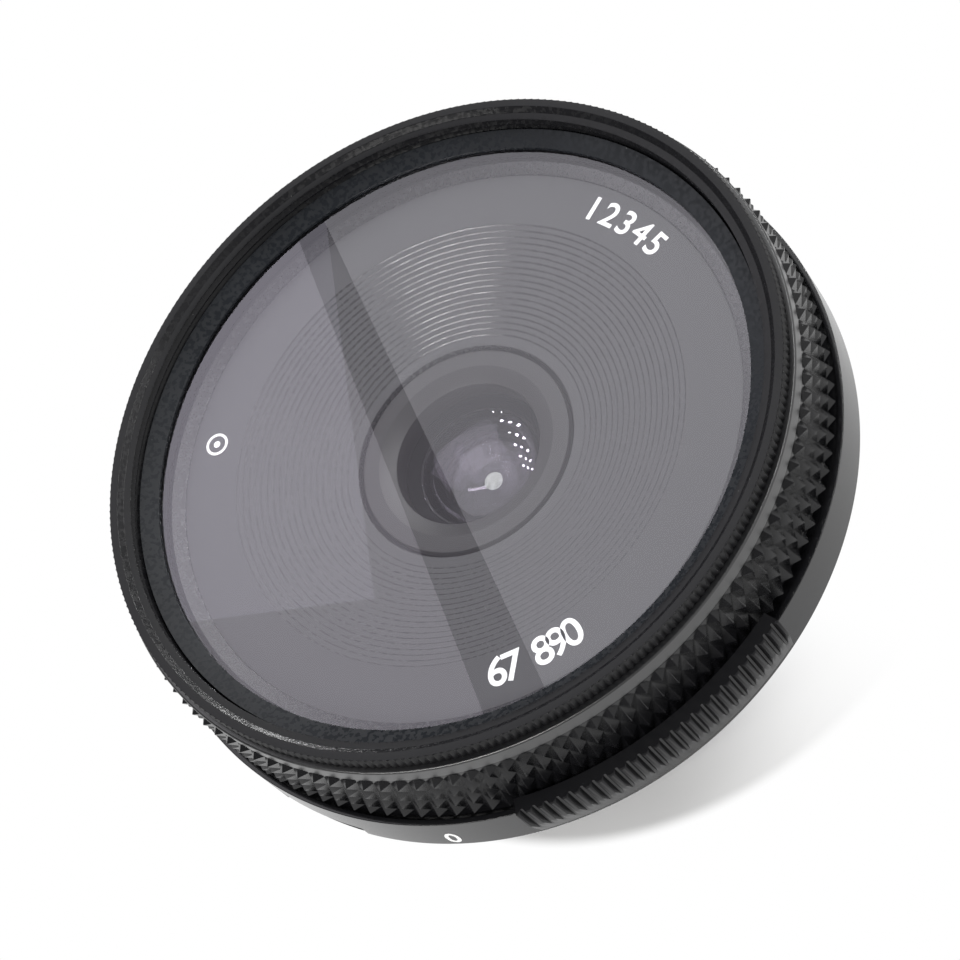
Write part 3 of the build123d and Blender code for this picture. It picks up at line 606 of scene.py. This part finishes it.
def makeFocusTab():
    size = focusTab
    low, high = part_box("focus_tab")
    bottom, top = low.z / mm, high.z / mm
    lipTop = reach("focus_ring")["bottom"] - size["lipGap"]
    lipBottom = lipTop - size["lipThickness"]
    underBridge = lipTop + size["bridgeRise"]
    inner, foot = size["innerRadius"], size["innerRadius"] + size["foot"]
    crest = inner + size["wall"]
    root = crest - size["grooveDepth"]
    bevelTop, chamferBottom = bottom + size["bevelHeight"], top - size["chamfer"]
    grooveEnd = bottom + size["bevelHeight"] * (root - foot) / (crest - foot)
    span = size["grooves"] * size["pitchAngle"]
    start = size["angle"] - span / 2
    piece = drawOutline("focusTab", [
        (size["lipInner"], lipBottom), (size["neckRadius"], lipBottom), (size["neckRadius"], underBridge),
        (inner, underBridge), (inner, bottom), (foot, bottom), (root, grooveEnd), (crest, bevelTop),
        (crest, chamferBottom), (crest - size["chamfer"], top), (size["frontRadius"], top),
        (size["frontRadius"], underBridge + size["bridge"]), (size["hookRadius"], underBridge + size["bridge"]),
        (size["hookRadius"], lipTop), (size["lipInner"], lipTop),
    ])
    turnOutline(piece, size["grooves"] * size["columns"], span, start)

    def column(point):
        along = (bearingOf(point) - start) / size["pitchAngle"]
        return round(along * size["columns"]) % size["columns"]

    # the two middle columns of each groove go in to its floor, on the wall and on the top edge
    for radius, height in ((crest, bevelTop), (crest, chamferBottom), (crest - size["chamfer"], top)):
        pickPoints(piece, lambda p: abs(fromAxis(p) - radius) < same and abs(p.z - height) < same
                   and column(p) in (2, 3))
        scaleFromAxis(root / radius)
    # down the bevel the groove narrows to nothing
    pickPoints(piece, lambda c, n: fromAxis(c) > root - 0.05 and grooveEnd < c.z < bevelTop, "FACE")
    bpy.ops.mesh.quads_convert_to_tris(quad_method="LONGEST_DIAGONAL")
    pickPoints(piece, lambda a, b: min(fromAxis(a), fromAxis(b)) > crest - same and min(a.z, b.z) < bevelTop + same
               and max(a.z, b.z) > chamferBottom - same and column(a) in (1, 4), "EDGE")
    bpy.ops.mesh.bevel(offset=size["crestRound"] * mm, segments=2, affect="EDGES")
    bpy.ops.mesh.select_all(action="SELECT")
    bpy.ops.mesh.remove_doubles(threshold=weld["gap"] * mm)
    faceOutward()
    return finishPiece(piece, tabFinish, "focus", ["focus_tab"], 30.0)


# Base ring: the smooth ring at the rear, with a shallow milled flat
baseRing = {
    "height": 4.2, "edge": 0.12, "lip": 0.5, "recess": 0.6, "bossRadius": 27.2, "bossInner": 23.5,
    "floorBottom": 1.9, "floorTop": 3.4, "seatRadius": 28.05, "bore": 7.0, "rounding": 0.06,
    "flatAngle": -150.0, "flatSweep": 17.0, "flatDepth": 0.22, "flatHeight": 1.35,
}


def makeBaseRing():
    size = baseRing
    box = reach("base_ring")
    radius, bottom, top = box["radius"], box["bottom"], box["bottom"] + size["height"]
    recess = radius - size["lip"]
    flatRadius, flatTop = radius - size["flatDepth"], bottom + size["flatHeight"]
    piece = drawOutline("baseRing", [
        (size["bore"], size["floorBottom"]), (size["seatRadius"], size["floorBottom"]), (size["seatRadius"], bottom),
        (radius - size["edge"], bottom), (radius, bottom + size["edge"]), (radius, flatTop), (radius, top),
        (recess, top), (recess, top - size["recess"]), (size["bossRadius"], top - size["recess"]),
        (size["bossRadius"], box["top"]), (size["bossInner"], box["top"]), (size["bossInner"], size["floorTop"]),
        (size["bore"], size["floorTop"]),
    ], size["rounding"], 3, [(radius, flatTop)])
    turnOutline(piece, 360)
    half = size["flatSweep"] / 2

    def onFlat(point):
        away = (bearingOf(point) - size["flatAngle"] + 180) % 360 - 180
        return abs(away) < half and fromAxis(point) > flatRadius and point.z < flatTop + same

    pickPoints(piece, onFlat)
    bpy.ops.mesh.extrude_region_move()
    scaleFromAxis(flatRadius / radius)
    return finishPiece(piece, baseFinish, "body", ["base_ring"])


# Central housing: a flat rim, a finely blasted cone into the opening and a sleeve down to the glass
housing = {
    "faceRadius": 7.6, "holeRadius": 6.25, "coneHeight": 0.55, "sleeveRadius": 7.4, "shoulder": 0.85, "rounding": 0.05,
}


def makeHousing():
    size = housing
    box = reach("front_retainer")
    top, bottom = box["top"], box["bottom"]
    piece = drawOutline("housingFront", [
        (size["holeRadius"], bottom), (size["sleeveRadius"], bottom), (size["sleeveRadius"], top - size["shoulder"]),
        (box["radius"], top - size["shoulder"]), (box["radius"], top), (size["faceRadius"], top),
        (size["holeRadius"], top - size["coneHeight"]),
    ], size["rounding"], 3)
    turnOutline(piece, 192)
    return finishPiece(piece, housingFinish, "cell", ["front_retainer"])


# Front element: a domed front, a hollow rear, and between them the edge that its seat holds
frontElement = {"edgeHeight": 1.1, "domeSteps": 28, "hollowRadius": 4.9, "hollowShare": 0.9, "hollowSteps": 14}


def makeFrontElement():
    size = frontElement
    box = reach("front_element")
    radius, top, bottom = box["radius"], box["top"], box["bottom"]
    rise = top - bottom - size["edgeHeight"]
    dome = (radius ** 2 + rise ** 2) / (2 * rise)
    hollow = size["hollowRadius"]
    edge = hollow * size["hollowShare"]
    points = []
    for step in range(size["domeSteps"] + 1):
        away = radius * step / size["domeSteps"]
        points.append((away, top - dome + math.sqrt(dome ** 2 - away ** 2)))
    points += [(radius, bottom), (edge, bottom)]
    deep = math.sqrt(hollow ** 2 - edge ** 2)
    for step in range(size["hollowSteps"] - 1, -1, -1):
        away = edge * step / size["hollowSteps"]
        points.append((away, bottom - deep + math.sqrt(hollow ** 2 - away ** 2)))
    piece = drawOutline("frontElement", points)
    turnOutline(piece, 160)
    return finishPiece(piece, lensGlassFinish, "cell", ["front_element"])


# Marks: plain numbers and signs in white paint, each stood on the circle that carries it
marks = {
    "lift": 0.012, "depth": 0.02, "digitShare": 0.7, "boldShare": 0.02, "roundPoints": 64,
    "outerNumbers": {"text": "12345", "radius": 21.95, "height": 2.1, "first": 27.0, "pitch": -4.6, "facing": -90},
    "innerNumbers": {"text": "67 890", "radius": 21.4, "height": 2.4, "first": -109.3, "pitch": 3.5, "facing": 90},
    "ring": {"angle": 139.2, "radius": 21.9, "outer": 1.0, "inner": 0.76, "dot": 0.3},
    "zero": {"angle": -126.4, "height": 1.75, "bottom": 1.5},
    "index": {"from": -152.5, "to": -144.6, "height": 0.16, "level": 1.9},
}


def makeDigit(digit, height):
    # a digit in the X-Y plane, centred on the origin, with a little thickness
    clearSelection()
    bpy.ops.object.text_add()
    item = bpy.context.object
    item.data.body = digit
    item.data.size = height / marks["digitShare"] * mm
    item.data.offset = marks["boldShare"] * height * mm
    item.data.extrude = marks["depth"] / 2 * mm
    item.data.align_x = "CENTER"
    item.data.align_y = "CENTER"
    bpy.ops.object.convert(target="MESH")
    item = bpy.context.object
    bpy.ops.object.mode_set(mode="EDIT")
    bpy.ops.mesh.select_all(action="SELECT")
    bpy.ops.mesh.remove_doubles(threshold=weld["digitGap"] * mm)
    bpy.ops.mesh.dissolve_degenerate(threshold=weld["digitGap"] * mm)
    bpy.ops.mesh.normals_make_consistent(inside=False)
    bpy.ops.object.mode_set(mode="OBJECT")
    return item


def placed(item, move):
    item.data.transform(move)
    return item


def joinedAs(name, items):
    clearSelection()
    for item in items:
        item.select_set(True)
    bpy.context.view_layer.objects.active = items[0]
    if len(items) > 1:
        bpy.ops.object.join()
    items[0].name = name
    return items[0]


def makeNumbers(size, level):
    items = []
    for index, digit in enumerate(size["text"]):
        if digit == " ":
            continue
        angle = math.radians(size["first"] + index * size["pitch"])
        turn = Matrix.Rotation(angle + math.radians(size["facing"]), 4, "Z")
        spot = Vector((math.cos(angle), math.sin(angle), 0)) * size["radius"] * mm + Vector((0, 0, level * mm))
        items.append(placed(makeDigit(digit, size["height"]), Matrix.Translation(spot) @ turn))
    return items


def makeRound(outer, inner):
    # a flat painted ring or dot
    clearSelection()
    bpy.ops.mesh.primitive_cylinder_add(vertices=marks["roundPoints"], radius=outer * mm, depth=marks["depth"] * mm)
    item = bpy.context.object
    if inner:
        bpy.ops.object.mode_set(mode="EDIT")
        pickPoints(item, lambda c, n: abs(n.z) > 0.9, "FACE")
        bpy.ops.mesh.inset(thickness=(outer - inner) * mm)
        bpy.ops.mesh.delete(type="FACE")
        pickPoints(item, lambda a, b: max(abs(fromAxis(a) - inner), abs(fromAxis(b) - inner)) < close, "EDGE")
        bpy.ops.mesh.bridge_edge_loops()
        faceOutward()
        bpy.ops.object.mode_set(mode="OBJECT")
    return item


def makeMarks():
    top = reach("nameplate")["top"] + marks["lift"]
    items = makeNumbers(marks["outerNumbers"], top) + makeNumbers(marks["innerNumbers"], top)
    size = marks["ring"]
    angle = math.radians(size["angle"])
    spot = Vector((math.cos(angle) * size["radius"], math.sin(angle) * size["radius"], top)) * mm
    for outer, inner in ((size["outer"], size["inner"]), (size["dot"], 0)):
        items.append(placed(makeRound(outer, inner), Matrix.Translation(spot)))
    piece = joinedAs("plateMarks", items)
    finishPiece(piece, paintFinish, "body", smooth=0)

    # the base ring's marks stand on its wall, with their tops to the front
    size = marks["zero"]
    base = reach("base_ring")
    angle = math.radians(size["angle"])
    wall = Vector((math.cos(angle), math.sin(angle), 0)) * (base["radius"] + marks["lift"]) * mm
    wall.z = (size["bottom"] + size["height"] / 2) * mm
    upright = Matrix.Rotation(angle + math.pi / 2, 4, "Z") @ Matrix.Rotation(math.pi / 2, 4, "X")
    zero = placed(makeDigit("0", size["height"]), Matrix.Translation(wall) @ upright)
    size = marks["index"]
    radius = base["radius"] - baseRing["flatDepth"] + marks["lift"]
    line = drawOutline("indexLine", [
        (radius, size["level"]), (radius + marks["depth"], size["level"]),
        (radius + marks["depth"], size["level"] + size["height"]), (radius, size["level"] + size["height"]),
    ])
    turnOutline(line, 24, size["to"] - size["from"], size["from"])
    bpy.ops.object.mode_set(mode="OBJECT")
    piece = joinedAs("baseMarks", [zero, line])
    return finishPiece(piece, paintFinish, "body", smooth=0)


makeFilterRim()
makeRetainingRing()
makeFrontBarrel()
makeNameplate()
makeFocusRing()
makeFocusTab()
makeBaseRing()
makeHousing()
makeFrontElement()
makeMarks()
print("lens scene: pieces modelled")

# Floor, light and camera
studio = {
    "floorLevel": -4.2, "floorSize": 3000.0, "floorColor": (0.6, 0.6, 0.6, 1), "worldStrength": 0.75,
    "shadeLow": 0.1, "brightSide": (0.93, -0.36, 0.0), "keyBearing": 97.8, "keyHeight": 52.2,
}
# the floor is white but for a painted shadow patch in front of the lens, where the grey floor and the lens's real
# shadow show: the patch's edge, in degrees and millimetres
paintedFloorShadow = {
    "from": (-152, -140), "to": (-100, -56), "near": 29.6, "nearAngle": -110, "spread": 0.12, "soft": (-0.8, 0.6),
}
lamps = {
    # softboxes behind the lens, which its glass mirrors: place, size, turn in their plane, brightness and colour
    "rightSoftbox": {"place": (85, 348, 511), "size": (286, 458), "turn": -18, "glow": 0.82, "color": (0.97, 1, 0.98)},
    "leftSoftbox": {"place": (-203, 396, 444), "size": (286, 458), "turn": -22, "glow": 0.79, "color": (0.97, 0.95, 1)},
    "violetSoftbox": {"place": (-91, 406, 448), "size": (74, 137), "turn": -36, "glow": 0.5, "color": (0.9, 0.9, 1)},
    "fillSoftbox": {"place": (-51, 362, 487), "size": (600, 500), "turn": 0, "glow": 0.6, "color": (0.97, 0.95, 1)},
    # a narrow lamp in front and to the left, which the plate's steps mirror
    "frontLamp": {"place": (-251, -205, 299), "size": (330, 50), "turn": 18, "glow": 24, "color": (1, 0.99, 0.97),
                  "bearing": -141, "height": 43},
}
# a leaning strip of small round lamps beside the lens, which its dome mirrors as rows of dots
dotLamps = {
    "first": (88.4, 460.1, 10.3), "rowStep": (19.5, -69.7, 57.9), "columnStep": (28.8, -27.4, 6.0), "rows": 8,
    "columns": 3, "size": (13, 13), "glow": 90, "color": (1, 1, 1),
}
view = {
    "place": (18.04, -138.88, 189.91), "ahead": (-0.0809, 0.5974, -0.7979), "up": (0.6004, 0.6682, 0.4393),
    "lens": 108.2,
}


def seenRays(tree):
    # 1 for what the camera sees, straight, in a reflection or through glass
    camera, glossy, through = (addNode(tree, "ShaderNodeLightPath", output=index) for index in (0, 3, 6))
    return camera.maths("MAXIMUM", glossy).maths("MAXIMUM", through)


def makeFloor():
    clearSelection()
    bpy.ops.mesh.primitive_plane_add(size=studio["floorSize"] * mm, location=(0, 0, studio["floorLevel"] * mm))
    floor = bpy.context.object
    floor.name = "floor"
    finish, tree, shader = newFinish("floorWhite")
    feed(tree, shader, {"Base Color": studio["floorColor"], "Roughness": 0.6})
    radius, angle = places(tree)[1:3]
    bearing = angle * (180 / math.pi)
    edge = (bearing - paintedFloorShadow["nearAngle"]) * paintedFloorShadow["spread"] + paintedFloorShadow["near"]
    # painted shadow: in a patch in front of the lens, shaped like its shadow, the white glow is left out, so the grey
    # floor and the real shadow on it show there
    near = 1.0 - (radius - edge).above(*paintedFloorShadow["soft"])
    paintedShade = near * bearing.above(*paintedFloorShadow["from"]) * (1.0 - bearing.above(*paintedFloorShadow["to"]))
    glow = addNode(tree, "ShaderNodeEmission", None, {"Color": (1, 1, 1, 1), "Strength": 1.0})
    white = seenRays(tree) * (1.0 - paintedShade)
    both = addNode(tree, "ShaderNodeMixShader", None, {0: white, 1: Shade(tree, shader.outputs[0]), 2: glow})
    tree.links.new(both.socket, findNode(tree, "OUTPUT_MATERIAL").inputs["Surface"])
    floor.data.materials.append(finish)


def makeLamp(name, lamp):
    # the brightness is the lamp's own, at which a mirror would show it
    clearSelection()
    bpy.ops.object.light_add(type="AREA")
    item = bpy.context.object
    item.name = name
    width, height = (side * mm for side in lamp["size"])
    item.data.shape = lamp.get("shape", "RECTANGLE")
    item.data.size, item.data.size_y = width, height
    item.data.energy = lamp["glow"] * math.pi * width * height
    item.data.color = lamp["color"]
    bearing = math.radians(lamp.get("bearing", studio["keyBearing"]))
    lift = math.radians(lamp.get("height", studio["keyHeight"]))
    outward = Vector((math.cos(bearing) * math.cos(lift), math.sin(bearing) * math.cos(lift), math.sin(lift)))
    turn = Quaternion((0, 0, 1), math.radians(lamp["turn"]))
    item.location = Vector(lamp["place"]) * mm
    item.rotation_euler = (outward.to_track_quat("Z", "Y") @ turn).to_euler()


def makeDotLamps():
    for row in range(dotLamps["rows"]):
        for column in range(dotLamps["columns"]):
            place = (Vector(dotLamps["first"]) + row * Vector(dotLamps["rowStep"])
                     + column * Vector(dotLamps["columnStep"]))
            makeLamp(f"dotLamp{row}{column}", {
                "place": place, "size": dotLamps["size"], "turn": 0, "glow": dotLamps["glow"], "shape": "ELLIPSE",
                "color": dotLamps["color"], "bearing": bearingOf(place),
                "height": math.degrees(math.atan2(place.z, fromAxis(place)))})


def makeWorld():
    world = bpy.data.worlds.new("studio")
    bpy.context.scene.world = world
    world.use_nodes = True
    tree = world.node_tree
    backdrop = findNode(tree, "BACKGROUND")
    # the room is white to the camera and through glass, and in reflections it is bright on one side
    direction = addNode(tree, "ShaderNodeTexCoord", output=0)
    toSide = addNode(tree, "ShaderNodeVectorMath", {"operation": "DOT_PRODUCT"},
                     {0: direction, 1: studio["brightSide"]}, 1)
    room = toSide.above(-0.1, 0.95) * (1.0 - studio["shadeLow"]) + studio["shadeLow"]
    glossy = addNode(tree, "ShaderNodeLightPath", output=3)
    strength = seenRays(tree) * (1.0 - studio["worldStrength"]) + studio["worldStrength"]
    strength = strength * (1.0 - glossy) + room * glossy
    tree.links.new(strength.socket, backdrop.inputs["Strength"])
    backdrop.inputs["Color"].default_value = (1, 1, 1, 1)


def makeCamera():
    data = bpy.data.cameras.new("camera")
    data.lens = view["lens"]
    data.sensor_width = 36.0
    data.clip_start = 0.001
    item = bpy.data.objects.new("camera", data)
    bpy.context.scene.collection.objects.link(item)
    back = -Vector(view["ahead"]).normalized()
    side = Vector(view["up"]).cross(back).normalized()
    turn = Matrix((side, back.cross(side), back)).transposed()
    item.location = Vector(view["place"]) * mm
    item.rotation_euler = turn.to_euler()
    bpy.context.scene.camera = item


makeFloor()
for lampName, lampSize in lamps.items():
    makeLamp(lampName, lampSize)
makeDotLamps()
makeWorld()
makeCamera()
bpy.context.scene.view_settings.view_transform = "Standard"
print("lens scene: studio set")

clearSelection()
